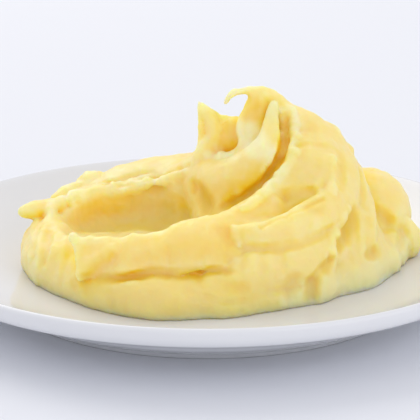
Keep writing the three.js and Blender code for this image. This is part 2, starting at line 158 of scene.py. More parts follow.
def glazedPorcelain():
    # Slip-cast porcelain under a clear glaze: white with a cool cast, mirror-like but a little wavy.
    look = plateLook
    material, tree = newMaterial("glazed porcelain")
    place = addNode(tree, "ShaderNodeTexCoord").outputs["Object"]
    # kiln unevenness in wide patches, and the faint orange peel of a poured glaze
    clay = addNode(tree, "ShaderNodeTexNoise", {"Scale": 1 / (look["clayPatch"] * mm), "Detail": 2.0},
                   {"Vector": place})
    tint = addNode(tree, "ShaderNodeValToRGB", None, {"Fac": clay.outputs["Fac"]})
    tint.color_ramp.elements[0].color = linear(look["porcelainShade"])
    tint.color_ramp.elements[1].color = linear(look["porcelain"])
    wave = addNode(tree, "ShaderNodeTexNoise", {"Scale": 1 / (look["glazeWave"] * mm), "Detail": 1.0},
                   {"Vector": place})
    bump = addNode(tree, "ShaderNodeBump", {"Strength": 0.15, "Distance": look["glazeWaveHeight"] * mm},
                   {"Height": wave.outputs["Fac"]})
    shader = addNode(tree, "ShaderNodeBsdfPrincipled",
                     {"Roughness": look["glazeRoughness"], "IOR": look["glazeIor"]},
                     {"Base Color": tint.outputs["Color"], "Normal": bump.outputs[0]})
    addNode(tree, "ShaderNodeOutputMaterial", None, {"Surface": shader.outputs[0]})
    return material


def makePlate():
    points = plateProfile()
    profile = bpy.data.meshes.new("plate profile")
    profile.from_pydata([(r * mm, 0.0, z * mm) for r, z in points], [], [])
    source = bpy.data.objects.new("plate profile", profile)
    bpy.context.scene.collection.objects.link(source)
    tree, stepsId, finishId = turningTree(len(points))
    wheel = source.modifiers.new("wheel", "NODES")
    wheel.node_group = tree
    wheel[stepsId] = plateLook["stepsRound"]
    wheel[finishId] = glazedPorcelain()
    graph = bpy.context.evaluated_depsgraph_get()
    mesh = bpy.data.meshes.new_from_object(source.evaluated_get(graph))
    mesh.name = "coupe plate"
    bpy.data.objects.remove(source)
    return addPiece("coupe_plate", mesh, "root", "plate")


plate = makePlate()
print("plate turned", len(plate.data.polygons), "faces")


# the mash: soft shapes joined and cut as a spoon would, then one skin laid over them
mashLook = {
    "cell": 0.85, "quickCell": 1.3,  # mesh size
    "glazeGap": 0.05,  # between the mash and the plate
    "low": (-78, -66, 3), "high": (86, 62, 78),  # the box that it fits in
    # soft dents and lumps, size across and height: in the heap, and over its folds as well
    "heapLumps": [((17, 17, 17), 0.9), ((8.5, 8.5, 8.5), 0.5)],
    "skinLumps": [((6, 6, 6), 0.25), ((2.2, 5, 11), 0.3), ((3, 3, 3), 0.2), ((1.6, 1.6, 1.6), 0.1)],
    "seed": 3,
    "shutInSteps": (3, 7, 15), "thinSteps": (2, 4),  # how far off a point the mash is looked for
    # painted shade: the first colour is the mash's own; the gold and the deep one paint folds and hollows
    # golden, and the gold one also comes in random patches
    "paleMash": "#F7E096", "goldPatchAndShade": "#F8DB4A", "paintedCreaseShade": "#F8CF2C",
    # painted light and shade: the lip colour is a painted pale highlight on thin lips and crests, and the
    # last colour is a deeper gold of painted shade
    "lipHighlight": "#FFF3C8", "paintedShadeMash": "#E2BC14",
    "butterPatch": 14.0, "wetPatch": 5.0,
    "wave": 2.5, "waveHeight": 0.35, "grain": 0.7, "grainHeight": 0.05,
    "dullest": 0.58, "wettest": 0.34,  # roughness of the drier and the wetter patches
    "ior": 1.42,
    "lightReach": 10.0, "reachByColour": (0.95, 0.7, 0.24),
}


def smoothPath(points, steps=5):
    # a smooth curve through every point
    c = np.asarray(points, np.float32)
    p = np.vstack([2 * c[0] - c[1], c, 2 * c[-1] - c[-2]])
    t = np.linspace(0, 1, steps, endpoint=False, dtype=np.float32)[:, None]
    spans = []
    for i in range(1, len(p) - 2):
        a, b, d, e = p[i - 1], p[i], p[i + 1], p[i + 2]
        spans.append(0.5 * (2 * b + (d - a) * t + (2 * a - 5 * b + 4 * d - e) * t ** 2
                            + (3 * b - a - 3 * d + e) * t ** 3))
    return np.vstack(spans + [p[-2][None]]).astype(np.float32)


def join(a, b, soft):
    # two distances made one, with a fillet about soft wide; below zero, what both have stays
    if soft < 0:
        return -join(-a, -b, -soft)
    if soft == 0:
        return np.minimum(a, b)
    mix = np.clip(0.5 + 0.5 * (b - a) / soft, 0, 1)
    return b * (1 - mix) + a * mix - soft * mix * (1 - mix)


def lump(name, at, size, soft=3, cut=False):
    # an egg shape: its middle and its half sizes
    at, size = np.array(at, np.float32), np.array(size, np.float32)
    reach = float(size.max()) + 8 + soft

    def distance(p):
        e = (p - at) / size
        length = np.sqrt((e * e).sum(1)) + 1e-6
        g = e / size
        return (length - 1) * length / (np.sqrt((g * g).sum(1)) + 1e-6)

    return {"name": name, "soft": soft, "cut": cut, "distance": distance,
            "low": at - reach, "high": at + reach}


def raggedPath(path, amount, spacing=2):
    # a ragged edge: place and width wander every couple of millimetres
    run = np.append(0, np.cumsum(np.linalg.norm(np.diff(path[:, :3], axis=0), axis=1)))
    stops = np.arange(0, run[-1], spacing)
    path = np.stack([np.interp(stops, run, path[:, k]) for k in range(4)], 1)
    wander = np.random.default_rng(mashLook["seed"]).uniform(-amount, amount, path.shape)
    return (path + wander).astype(np.float32)


def stroke(name, points, soft=3, cut=False, flat=1, face=(0, 0, 1), torn=None, ragged=0):
    # a roll or ribbon along [x, y, z, half width]; below 1, flat thins it along face
    path = smoothPath(points)
    if ragged:
        path = raggedPath(path, ragged)
    face = np.asarray(face, np.float32)
    faces = smoothPath(face) if face.ndim == 2 else np.repeat(face[None], len(path), 0)

    def distance(p):
        best = np.full(len(p), 1e3, np.float32)
        for start, end, up in zip(path, path[1:], faces):
            along = end[:3] - start[:3]
            square = float(along @ along) + 1e-9
            away = p - start[:3]
            t = np.clip(away @ along / square, 0, 1)
            off = away - t[:, None] * along
            wide = (off * off).sum(1)
            across = up - (up @ along) / square * along
            thin = (off @ (across / (np.linalg.norm(across) + 1e-9))) ** 2
            e = np.sqrt(wide - thin + thin / flat ** 2) + 1e-6
            g = np.sqrt(wide - thin + thin / flat ** 4) + 1e-6
            np.minimum(best, (e - start[3] - (end[3] - start[3]) * t) * e / g, out=best)
        return join(best, -torn["distance"](p), -torn["soft"]) if torn else best

    points = np.asarray(points, np.float32)
    reach = float(points[:, 3].max()) + 8 + soft
    return {"name": name, "soft": soft, "cut": cut, "distance": distance,
            "low": points[:, :3].min(0) - reach, "high": points[:, :3].max(0) + reach}


tornEnd = lump("torn end", [-74, -44, 8], [32.5, 40, 42], soft=0.6)  # where the front flap stops

# the heap as it was spooned up, hollow and skirts included
heaped = [
    lump("left heap", [-14, -2, 4], [50, 45, 19], soft=0),
    lump("right heap", [26, 0, 6], [41, 38, 26], soft=8),
    stroke("back roll", [[-50, 20, 15, 9.5], [-34, 29, 21, 12.5], [-8, 29, 25.5, 14.5], [30, 24, 26, 17]],
        soft=5),
    stroke("far wall", [[-48, 0, 14, 8.5], [-46, 10, 18, 9], [-37, 20, 21.5, 10], [-20, 23, 22.5, 11],
        [-4, 20, 26, 13]]),
    lump("left shoulder", [-43, -6, 12], [22, 26, 13], soft=4),
    lump("back skirt", [0, 34, 8], [48, 16, 18], soft=6),
    stroke("bottom roll", [[-46, 20, 12, 9], [-57, 4, 12.5, 10.3], [-53.5, -12, 11.5, 10],
        [-44, -27.5, 10, 9.6], [-33, -39, 9.5, 9.6], [-19, -46, 9, 10], [-4, -46.5, 9, 10],
        [12, -43.5, 9, 9.8], [36, -32, 10, 8.8]], soft=2.5),
    lump("right front", [20, -33, 20], [22, 12, 13], soft=4),
    stroke("cone", [[30, -2, 12, 32], [32, 1, 30, 25], [35, 4, 40, 17.5], [35.5, 6, 47, 12.5],
        [31, 7, 55, 7.6], [27.5, 7, 61, 3.6]], soft=5),
    lump("top shoulder", [39.5, 9, 53], [7.2, 7, 4], soft=0.8),
    lump("middle shoulder", [44.5, 8, 46], [7.8, 8, 4], soft=0.8),
    lump("low shoulder", [46, 8, 41.5], [8, 9, 5], soft=1.2),
    stroke("scooped valley", [[-31, -5, 30.5, 24], [-16, -5, 31, 24], [-3, -10, 36.5, 20],
        [8, -16, 42, 15.5], [16, -15, 47, 9]], cut=True, soft=2, flat=0.6, face=[0, -0.12, 1]),
    stroke("far undercut", [[-47, 2, 23.5, 5], [-42.5, 8, 22.5, 6], [-33, 11, 22.5, 7],
        [-19, 11.5, 23.5, 7], [-11, 8.5, 25.5, 6]], cut=True),
    lump("right lobe", [57, 18, 19], [18, 19, 18.5], soft=1.2),
    lump("lobe root", [46, 25, 12], [17, 16, 14], soft=4),
    lump("low right lobe", [60, 6, 11], [13.5, 15, 10], soft=1.5),
    stroke("right skirt", [[36, -31, 9, 6], [48, -21, 9.5, 7.4], [61, -7, 10, 7.6]], soft=1.5),
]

# what the spoon drew out of it: ridge, trench, flap, ribbons, lips, fin and curl
drawn = [
    lump("valley end", [10, 1, 24], [14, 14, 13], soft=7),
    stroke("wall bend", [[-7.5, 20, 30.5, 8], [-3, 15.5, 30.5, 8], [0.5, 10, 30.5, 8]], soft=5),
    stroke("inner ridge", [[-12.5, 17, 32.5, 2.4], [-5.5, 14, 35.5, 4.2], [-0.5, 9, 36.5, 6.8],
        [5, 3, 36, 8.8], [10, -2, 37.5, 9.2], [15.5, -5, 42.5, 8], [20.5, -6.5, 49, 6.4],
        [22, -3.5, 56.5, 3.4], [23, 2, 64, 1.9]], soft=4),
    stroke("trench", [[26, 1, 65.5, 2.8], [27, 1, 62, 3.2], [27, -1.5, 57, 3.8], [26.5, -9.5, 52.5, 4.6],
        [23.5, -14.5, 47, 4.6], [19.5, -15, 41.5, 4.2], [15.5, -15, 38, 4], [10.5, -14, 34, 4],
        [6, -13, 32, 3.4]], cut=True, soft=1, flat=0.42, face=[[1, 0, 0], [1, 0, 0], [1, 0, 0],
        [1, 0, -0.2], [0.8, 0, -0.6], [0.75, 0, -0.65], [0.6, 0, -0.8], [0.5, 0, -0.9], [0.3, 0, -0.95]]),
    stroke("slot under the flap", [[-43, -44, 15.5, 2], [-38, -47.5, 17, 2.4], [-29.5, -50.5, 18, 2.6],
        [-18.5, -51.5, 20.5, 2.6], [-11.5, -52, 20, 2.6], [-6, -52.5, 21, 2.6], [-1, -51, 20.5, 2.4],
        [3.5, -50, 20.5, 2.2], [8, -48, 20, 2]], cut=True, soft=1, flat=0.24, face=[0, -0.25, 0.97]),
    stroke("front flap", [[-45.5, -39.5, 21, 7], [-38, -42, 21.5, 6.8], [-31, -44, 22.5, 6.8],
        [-19, -45, 24.5, 6.9], [-12, -45, 25, 7.8], [-3.5, -42.5, 27, 9.2], [5, -38.5, 26.5, 9.9],
        [14, -32, 28.5, 10.2], [23, -25, 32.5, 10]], soft=1, flat=0.4, face=[0.05, -0.75, 0.66],
        torn=tornEnd),
    stroke("dent in the flap", [[-37.5, -50, 20, 2.6], [-33, -49.5, 23.5, 3], [-28, -48.5, 27, 2.2]],
        cut=True, soft=2.5),
    stroke("upper ribbon", [[10, -39.5, 29, 3.8], [18, -39.5, 29, 5], [26.5, -36, 30, 6],
        [36.5, -29, 32.5, 6.8], [45.5, -17, 35, 7.2], [50.5, -4, 39, 6]], soft=1.2, flat=0.6,
        face=[[0, -0.85, 0.5], [0, -0.85, 0.5], [0.15, -0.85, 0.5], [0.4, -0.8, 0.5], [0.8, -0.5, 0.4],
        [1, -0.1, 0.3]]),
    stroke("lower ribbon", [[-1, -48, 14, 4], [6.5, -47.5, 16, 5.5], [15.5, -45.5, 18.5, 7],
        [26.5, -41.5, 20, 7.6], [35.5, -35.5, 21.5, 7.6], [41.5, -28, 24, 7]], soft=1.2, flat=0.6,
        face=[[0, -0.9, 0.4], [0, -0.9, 0.4], [0, -0.9, 0.4], [0.3, -0.9, 0.4], [0.5, -0.8, 0.4],
        [0.8, -0.6, 0.3]]),
    stroke("right roll", [[54.5, -2, 31, 4], [53, -10, 25.5, 6], [52, -16, 19.5, 6.5],
        [50, -21, 13.5, 5.5]], soft=1),
    stroke("far right bead", [[71.5, 8, 18.5, 3.6], [73.5, 6, 14.5, 4.4], [73, 5, 10.5, 3.6]], soft=1.5),
    stroke("beak", [[-56, 10, 24, 5], [-60.5, 7, 24.5, 4.6], [-63.5, 5, 25, 3.6], [-66, 4, 25, 2.5]],
        soft=1.2, flat=0.85),
    stroke("left back fold", [[-56, 23, 24, 3.2], [-52.5, 26, 25.5, 3.8], [-48, 28, 26.5, 3.6]]),
    stroke("back fold", [[-47, 32, 28, 3.4], [-44.5, 32, 29, 3.8], [-39.5, 33, 25.5, 4.2],
        [-33, 33, 27, 4.8], [-27.5, 33, 27.5, 5], [-21, 31, 30, 4.4]], soft=2.5),
    stroke("high back fold", [[-24.5, 31, 32, 3.4], [-18, 31, 33.5, 4.2], [-11, 28, 32, 4],
        [-5.5, 23, 31, 4.2]], soft=2.5),
    stroke("fin root", [[-15.5, 26, 32.5, 3.8], [-9.5, 20, 34, 3.8], [-4.5, 15, 38.5, 4.8],
        [0.5, 12, 42, 6]]),
    stroke("far lip", [[-56.5, -2, 23, 1.5], [-55.5, 5.5, 26.5, 1.7], [-51, 11.5, 28.5, 1.8],
        [-45.5, 15.5, 29, 1.8], [-37, 17.5, 29, 1.8], [-26.5, 17.5, 30.5, 1.8]], soft=2, ragged=0.25),
    stroke("rising lip", [[-28, 18, 31, 1.6], [-20.5, 16.5, 32.5, 1.8], [-14, 14.5, 34.5, 1.8],
        [-8.5, 12, 37.5, 1.8], [-4.5, 10, 41, 1.8], [-0.5, 8, 44, 1.6]], soft=1.2, ragged=0.4),
    stroke("near lip", [[-44, -35.5, 27, 1.4], [-38.5, -37.5, 26.5, 1.4], [-33, -39.5, 27.5, 1.5],
        [-27, -40, 27.5, 1.5], [-19.5, -40.5, 29, 1.5], [-12.5, -39.5, 30, 1.6], [-4.5, -36.5, 32.5, 1.6],
        [1.5, -34.5, 33, 1.6], [7, -32, 33, 1.6], [12, -28.5, 35, 1.6], [16, -25, 37, 1.7],
        [20, -20, 39, 1.7], [24, -14.5, 41.5, 1.7], [27.5, -11, 45.5, 1.7], [30.5, -6, 51, 1.6]],
        soft=1.5, ragged=0.45),
    stroke("fin", [[-3, 14, 62.5, 1], [-1, 14, 57.5, 3], [1, 13, 51, 5.4], [1, 12, 43, 7]], soft=1.2,
        flat=0.42, face=[0.6, -0.8, 0]),
    stroke("fin face", [[-0.5, 12.5, 59.5, 1.8], [2, 11, 56, 2.8], [2.5, 9.5, 51.5, 3], [0, 9, 47, 3.6],
        [-1.5, 9.5, 43.5, 4]], soft=1.5, flat=0.5, face=[0.35, -0.9, 0.1]),
    stroke("cup back", [[-1.5, 14.5, 60, 1.3], [2.5, 13.5, 57.5, 2.2], [8, 11.5, 54.5, 3.8],
        [14, 9, 53.5, 5.4]], soft=1.5, flat=0.34, face=[0.1, -1, 0]),
    stroke("cup bottom", [[2.5, 13, 47, 5.5], [8, 11, 48.5, 7.5], [15, 7, 51.5, 7.5]], soft=2, flat=0.5,
        face=[0, -1, 0.1]),
    stroke("cup lip", [[0, 8, 44, 1.8], [5, 5, 44.5, 2.1], [10.5, 2, 47, 2], [15, 0, 50.5, 1.6]],
        soft=1.5, ragged=0.45),
    stroke("curl", [[29, 7, 60, 4.2], [24.5, 7, 64, 3.9], [20.5, 7, 67.5, 2.8], [15.5, 7, 68.5, 2.1],
        [11.5, 6, 68.5, 1.8], [8, 5, 67.5, 1.5], [6.5, 5, 65, 1.2]], soft=1.2, flat=0.8),
    stroke("curl root", [[18.5, 6.5, 66, 3.8], [17, 6, 62, 4.8], [15.5, 5, 56.5, 5.4]], soft=2, flat=0.5,
        face=[0.1, -1, 0]),
    stroke("curl panel", [[21, 7, 64, 2.4], [20, 6, 59.5, 3.8], [18, 3.5, 55, 4.6]], soft=1.5, flat=0.7,
        face=[0.1, -1, 0]),
    stroke("cup step", [[15.5, 5, 55, 3], [14.5, 3, 51.5, 3.4], [13.5, 1, 48.5, 3]], soft=2),
]

# creases, dents and small lumps left by the last strokes
marks = [
    stroke("back crease one", [[-52.75, 9.25, 29.5, 0.9], [-48.5, 24.75, 29.5, 1.2],
        [-41.75, 22.5, 31.25, 1.2], [-34.75, 20.25, 32.25, 1]], cut=True, soft=0.8),
    stroke("back crease two", [[-38.25, 18.75, 31.5, 0.9], [-30.5, 21.25, 33.5, 1.3],
        [-21.5, 21.5, 35.75, 1.3], [-11.75, 15.25, 38.5, 1]], cut=True, soft=0.8),
    stroke("back crease three", [[-32.25, 17, 31.25, 0.9], [-22.75, 15.25, 34, 1.1],
        [-14.75, 16.75, 36.25, 1], [-7, 9.5, 41, 0.9]], cut=True, soft=0.8),
    stroke("back lump one", [[-44, 30.5, 30.5, 2.7], [-41.25, 31.75, 31, 1.9]], soft=1.5),
    stroke("back lump two", [[-29, 27, 32.25, 3.6], [-25.5, 25.75, 33.5, 3]], soft=1.5),
    stroke("flap dent", [[-38.75, -49.75, 19.75, 4], [-36, -51.75, 23.75, 6.8], [-32.5, -50.75, 27, 6.8],
        [-28.75, -46.25, 28.5, 3.4]], cut=True, soft=2.5),
    stroke("flap sag", [[-20, -57, 27.25, 9.2], [-4.75, -59.5, 29, 11.8], [8.25, -50.75, 27.25, 7]],
        cut=True, soft=2.5),
    stroke("valley pit", [[-5.75, 1.75, 34, 2.6], [-5.25, -2.75, 32, 4.4], [-2, -6.25, 31, 3.2]],
        cut=True),
    stroke("left wrinkle one", [[-61, 0.5, 20.75, 1.7], [-59.5, -13, 18.25, 2.4], [-60.5, -19, 15, 1.5]],
        soft=1.5),
    stroke("left wrinkle two", [[-57.5, -8.25, 21.5, 1.5], [-56.5, -18.75, 18.5, 2.2],
        [-56.75, -24.5, 15, 1.5]], soft=1.5),
    stroke("left wrinkle three", [[-52.75, -16.75, 21.25, 1.8], [-52.75, -23.5, 18.25, 2.4],
        [-54.25, -27.75, 14.75, 1.4]], soft=1.5),
    stroke("left wrinkle four", [[-49.25, -22.25, 20.5, 1.7], [-48.75, -27.75, 17.25, 2.5],
        [-48.5, -33.25, 14.25, 1.7]], soft=1.5),
    stroke("left crease", [[-56, -13.75, 23.75, 1.9], [-56.5, -22.75, 22, 3], [-56.75, -27, 16.5, 1.6]],
        cut=True, soft=1.8),
    stroke("cone lip", [[30, 3.5, 62.25, 1.3], [30.25, 0, 57.25, 1.7], [30, -8.25, 53, 1.9],
        [28.75, -13.25, 49.25, 2.1], [26.25, -16.75, 45.5, 1.9], [22.75, -19.25, 41.5, 1.8],
        [18.75, -23, 39, 1.7], [14.75, -27.75, 37, 1.5], [10.75, -30.75, 35.5, 1.3]], soft=1.5,
        ragged=0.5),
    stroke("shoulder crease", [[31, -10.5, 53.75, 1.8], [36.25, -9.75, 54.5, 2.2],
        [41.75, -8.5, 53.25, 1.8], [45, -7.25, 51, 1.1]], cut=True, soft=0.8),
    stroke("cone fold", [[42.75, -12, 47.75, 1.6], [42.75, -15.5, 42.75, 2.2], [41.75, -23, 39.25, 1.3]],
        soft=1.5),
    stroke("cone side crease", [[47, -8.5, 50.25, 1.9], [47, -15, 46.25, 2.8], [45.25, -20, 42, 1.9]],
        cut=True, soft=1.6),
    stroke("upper cone crease", [[26.25, -23.75, 38.75, 1.8], [29.75, -24.5, 40.5, 2.9],
        [34.75, -23, 40.5, 1.8]], cut=True, soft=2),
    stroke("gold cone hollow", [[30.5, -24.75, 47.5, 6.8], [33.75, -24, 49.75, 7.7]], cut=True, soft=2.5),
    stroke("cone hollow", [[33.5, -22, 52.5, 7.8], [38.75, -25.25, 51, 9.9]], cut=True, soft=0.8),
    stroke("middle cone crease", [[17.75, -40.25, 32.75, 1], [23.75, -36, 35.5, 1.5],
        [30.5, -33, 37.25, 1.5], [38.25, -27.25, 38.75, 1]], cut=True, soft=0.8),
    stroke("lower cone crease", [[10.5, -42.75, 26.5, 1], [17.75, -44, 26.5, 1.2],
        [26, -43.5, 26.75, 1.4], [34.25, -39.25, 28, 1.4], [41.75, -31.5, 29.5, 1.2]], cut=True,
        soft=1.6),
    stroke("ribbon end", [[8.25, -38.5, 31.75, 1.1], [8.75, -41, 29.5, 1.4], [10, -42.25, 27, 0.9]],
        soft=1.5),
    stroke("ribbon end hollow", [[6.25, -42.5, 34, 5.1], [7, -44.75, 30.75, 4.3]], cut=True, soft=2.2),
    stroke("side hollow", [[51, -19, 31.25, 1.8], [49.75, -23.5, 29, 3.2], [48.5, -27.25, 27.25, 4],
        [45, -32, 24.25, 2.6]], cut=True, soft=2.2),
    stroke("low side hollow", [[41.75, -37.75, 20.5, 1.9], [40.25, -40.25, 18.5, 2.6],
        [37.25, -41.5, 16.5, 1.7]], cut=True, soft=2),
    stroke("ribbon lip", [[47.75, -21.5, 33, 1.4], [44.75, -25.5, 30.5, 1.8], [42.25, -29.75, 27.25, 2],
        [40.5, -34.25, 24.25, 1.8], [41.25, -36.25, 21, 1.2]], soft=1.2, ragged=0.4),
    stroke("skirt lump", [[36, -37, 14.25, 4.6], [35.25, -36.5, 10.25, 6]], soft=2.5),
    stroke("lobe edge crease", [[54.25, -4.25, 42, 1.5], [55, -9, 37.5, 1.8], [54.25, -13.75, 33, 1.5]],
        cut=True, soft=1.6),
    stroke("roll edge", [[56.5, -16.5, 28.5, 1.8], [57.5, -21.25, 24.25, 2.7],
        [56.75, -23.25, 19.5, 2.1]], cut=True, soft=1.6),
    stroke("roll foot", [[55.25, -24, 17.75, 1.7], [59, -19.5, 17.25, 2.1]], cut=True, soft=1.8),
    stroke("lobe dimple", [[60.75, 0.5, 26.5, 1.8], [63.75, -0.25, 25, 2.9], [66, 1.25, 22.25, 1.9]],
        cut=True, soft=2),
    stroke("bead crease", [[70.5, 2.25, 18.75, 1.9], [70.25, -5, 15.5, 2.5]], cut=True, soft=1.8),
    stroke("skirt hollow", [[35, -43.5, 14, 2.5], [34.75, -44.25, 9.5, 2.5]], cut=True, soft=2.2),
    stroke("front skirt hollow", [[29, -48.25, 15.5, 3.1], [27.75, -48, 13.25, 2.7]], cut=True, soft=2.2),
    stroke("bottom crease", [[-0.75, -55.25, 14.25, 1.1], [4.75, -56.25, 12.25, 1.8],
        [12.5, -54.5, 12, 1.8], [19.75, -50.75, 13, 1.4], [30.5, -45, 13, 1.1]], cut=True, soft=0.8),
    stroke("under the flap", [[-40.75, -46.5, 17.75, 0.9], [-35.5, -48, 17.75, 1.2],
        [-29.75, -49.25, 18, 1.2], [-23.75, -49.5, 18.5, 1.2], [-18, -50.5, 20.5, 1.2],
        [-12, -50.75, 20, 0.9]], cut=True, soft=1.2),
    stroke("under the flap end", [[0.25, -48, 20, 0.9], [4, -48.25, 20.5, 1.2], [8, -49, 20.75, 0.9]],
        cut=True, soft=1.2),
    stroke("roll lump", [[-32.25, -45.25, 14.25, 3.6], [-33, -46.75, 11, 3.6]], soft=1.5),
    stroke("second roll lump", [[-15, -50.25, 13.25, 5.1], [-11.25, -50.25, 12, 5.9],
        [-8.25, -53.25, 11.75, 3.6]], soft=1.5),
    stroke("flap fold", [[-41.25, -45, 18, 1.7], [-37.75, -44, 20.5, 2.5], [-33.75, -43.25, 23.25, 2.5],
        [-30.75, -43, 26, 1.5]], soft=1.5),
    stroke("trench floor", [[26, 3, 61.75, 1.4], [27, 3.5, 56.5, 1.9], [27.75, -0.5, 51.75, 2.3],
        [25.75, -6.25, 48.25, 1.9]], soft=2),
]

# painted shade, a deeper gold in the pit, the trench, under the flap, in hollows and over the flap face
# and bottom roll: how much, and along what; soft is how far it fades out
paintedShadeRuns = [
    (0.6, stroke("pit", [[-2.5, -1.5, 33.5, 1.2], [-1.5, -4, 31, 2.2], [0, -7.5, 29, 2]], soft=4.5)),
    (0.5, stroke("trench", [[25, -8.5, 47, 0.6], [22, -11, 43, 0.8], [18.5, -11, 39.5, 1.2],
        [15.5, -11.5, 36.5, 1.4], [11, -11, 33, 1.4], [6.5, -12, 30.5, 1.4], [1.5, -9.5, 28.5, 1.2],
        [-2, -6, 26.5, 0.8]], soft=2.5)),
    (0.6, stroke("under the flap", [[-40, -46.5, 17.5, 0.5], [-35, -48, 18, 0.8], [-29.5, -49, 18, 1],
        [-23.5, -49.5, 18.5, 1], [-18, -50, 20.5, 1], [-12, -50.5, 20, 1], [-6.5, -50, 20, 1],
        [1, -47.5, 20, 0.8], [6.5, -48.5, 20.5, 0.5]], soft=2.5)),
    (0.2, stroke("flap face", [[-37.5, -43.5, 24, 4], [-25, -46, 26, 4.5], [-12, -48, 26.5, 4.5],
        [1, -47, 25.5, 4]], soft=6)),
    (0.35, stroke("flap dent", [[-37.5, -46.5, 19.5, 1], [-34.5, -46, 22, 1.4], [-31.5, -45.5, 24, 1]],
        soft=4)),
    (0.16, stroke("bottom roll", [[-28, -52.5, 13, 3], [-15, -56, 13, 3.5], [-2.5, -55.5, 12.5, 3.5],
        [10.5, -54, 11.5, 3]], soft=6)),
    (0.25, stroke("ribbon end", [[5, -39.5, 31, 1], [6.5, -42, 28.5, 0.8]], soft=3.5)),
    (0.5, stroke("side hollow", [[50, -20, 30.5, 1], [48, -23, 28, 1.4], [46, -28, 26, 1.4],
        [44.5, -31.5, 23.5, 0.8]], soft=3.5)),
    (0.4, stroke("low side hollow", [[41, -37.5, 20.5, 0.8], [39, -39.5, 18, 1]], soft=2.5)),
    (0.3, stroke("skirt hollow", [[34.5, -42.5, 13, 1.4], [34, -43, 9.5, 1.4]], soft=3.5)),
    (0.25, stroke("front hollow", [[28, -46.5, 15.5, 1.2], [26.5, -46.5, 13, 1]], soft=3.5)),
    (0.35, stroke("lobe dimple", [[61, 1, 26, 0.8], [63, 1, 24.5, 1], [65.5, 1.5, 22.5, 0.8]], soft=2.5)),
    (0.3, stroke("roll foot", [[55.5, -22.5, 17.5, 0.8], [57.5, -19.5, 17.5, 0.8]], soft=2.5)),
    (0.3, stroke("cone hollow", [[26.5, -27, 35, 2], [31, -25, 36.5, 2.4], [36, -30, 37.5, 2]], soft=4)),
    (0.35, stroke("curl", [[14.5, 5, 66, 1.4], [14.5, 4, 63.5, 1.8], [14, 3.5, 61, 1.4]], soft=3.5)),
    (0.3, stroke("cup back", [[4.5, 12.5, 58.5, 1.4], [8, 10.5, 57.5, 1.6], [9.5, 6, 52.5, 1.4]])),
    (0.25, stroke("fin", [[-1.5, 11, 58, 1], [-1, 10, 54, 1.4]], soft=3.5)),
    (0.3, stroke("left foot", [[-43.5, -42, 13.5, 1], [-40.5, -43.5, 14.5, 1]], soft=3.5)),
]

# and painted highlights: paler along lit crests, lips and the ridge top, and over faces that the light
# reaches
paintedHighlightRuns = [
    (0.3, stroke("far wall", [[-23, 19, 28.5, 1.6], [-17.5, 18.5, 29.5, 2], [-12.5, 13, 31, 1.6]],
        soft=5)),
    (0.7, stroke("ridge top", [[12.5, 2, 56, 1.6], [15, 0, 54, 2.6], [16.5, -10, 53, 2.6],
        [18.5, -12, 51.5, 1.6]], soft=4)),
    (0.45, stroke("cup rim", [[-0.5, 6.5, 46.5, 1], [2, 7.5, 46.5, 1.6], [6, 2, 45.5, 1],
        [10, -6, 48, 1]])),
    (0.4, stroke("back folds", [[-52.5, 24, 29, 2], [-45.5, 27, 30, 2.4], [-39, 25, 32, 2.4],
        [-31, 23, 33.5, 2.4], [-23, 22, 35, 2.4], [-17, 23, 37.5, 1.6]], soft=5)),
    (0.4, stroke("fin root", [[-8, 11, 41, 1.2], [-4.5, 7.5, 45.5, 1.6], [-2.5, 7.5, 49, 1.2]],
        soft=3.5)),
    (0.35, stroke("cone lip", [[29.5, 4, 63, 1], [31, 1.5, 60, 1.2], [31.5, -1.5, 56.5, 1]])),
    (0.35, stroke("near crest", [[25.5, -17.5, 45.5, 1], [23, -19.5, 42, 1.2], [19, -23, 39.5, 1]],
        soft=2.5)),
    (0.3, stroke("far lip", [[-54.5, 5.5, 28, 0.8], [-49.5, 11, 29, 1], [-41, 15, 29.5, 1],
        [-32.5, 16, 30, 0.8]], soft=2.5)),
    (0.25, stroke("left end", [[-63.5, -10.5, 17.5, 2], [-63, -16.5, 14, 2.4], [-59.5, -24, 11, 2]],
        soft=5)),
    (0.35, stroke("right skirt", [[29, -46, 10, 2], [39, -40, 9.5, 2.4], [50, -30.5, 9, 2.4],
        [61, -19.5, 10, 2.4], [69.5, -5, 10.5, 2]], soft=6)),
    (0.3, stroke("right lobe", [[70.5, 6.5, 23, 1.4], [72, 3, 17.5, 1.6], [72, 0, 13.5, 1.4]], soft=4)),
    (0.25, stroke("middle ribbon", [[31, -38, 31, 1.6], [36.5, -35, 31.5, 1.6]], soft=4)),
    (0.3, stroke("ribbon edge", [[11.5, -42.5, 26.5, 1], [16, -43.5, 26.5, 1]])),
]


def lumpyNoise(p, size, seed):
    # smooth noise from -1 to 1: each corner of a lattice has a value, scrambled from its place
    scramble = np.array([374761393, 668265263, 2147483647])  # large odd numbers
    q = p / np.array(size, np.float32)
    cell = np.floor(q).astype(np.int64)
    f = (q - cell).astype(np.float32)
    f = f * f * f * (f * (f * 6 - 15) + 10)
    total = 0
    for corner in np.ndindex(2, 2, 2):
        n = (cell + corner) @ scramble + seed * 974634777 & 0xFFFFFFFF
        n = (n ^ (n >> 13)) * 1274126177 & 0xFFFFFFFF
        n = (n ^ (n >> 16)) & 0xFFFFFF
        weight = np.prod(np.where(corner, f, 1 - f), axis=1)
        total = total + (n.astype(np.float32) / 0x7FFFFF - 1) * weight
    return total


def shaped(p, value, shapes):
    # adds or cuts the shapes one after another
    for shape in shapes:
        near = np.all((p > shape["low"]) & (p < shape["high"]), 1)
        if near.any():
            side = -1 if shape["cut"] else 1
            value[near] = join(value[near], side * shape["distance"](p[near]), side * shape["soft"])


def roughened(p, value, lumps):
    # soft unevenness, only where a face is near
    near = np.abs(value) < 4
    if near.any():
        for size, height in lumps:
            value[near] -= height * lumpyNoise(p[near], size, mashLook["seed"] + round(size[0]))


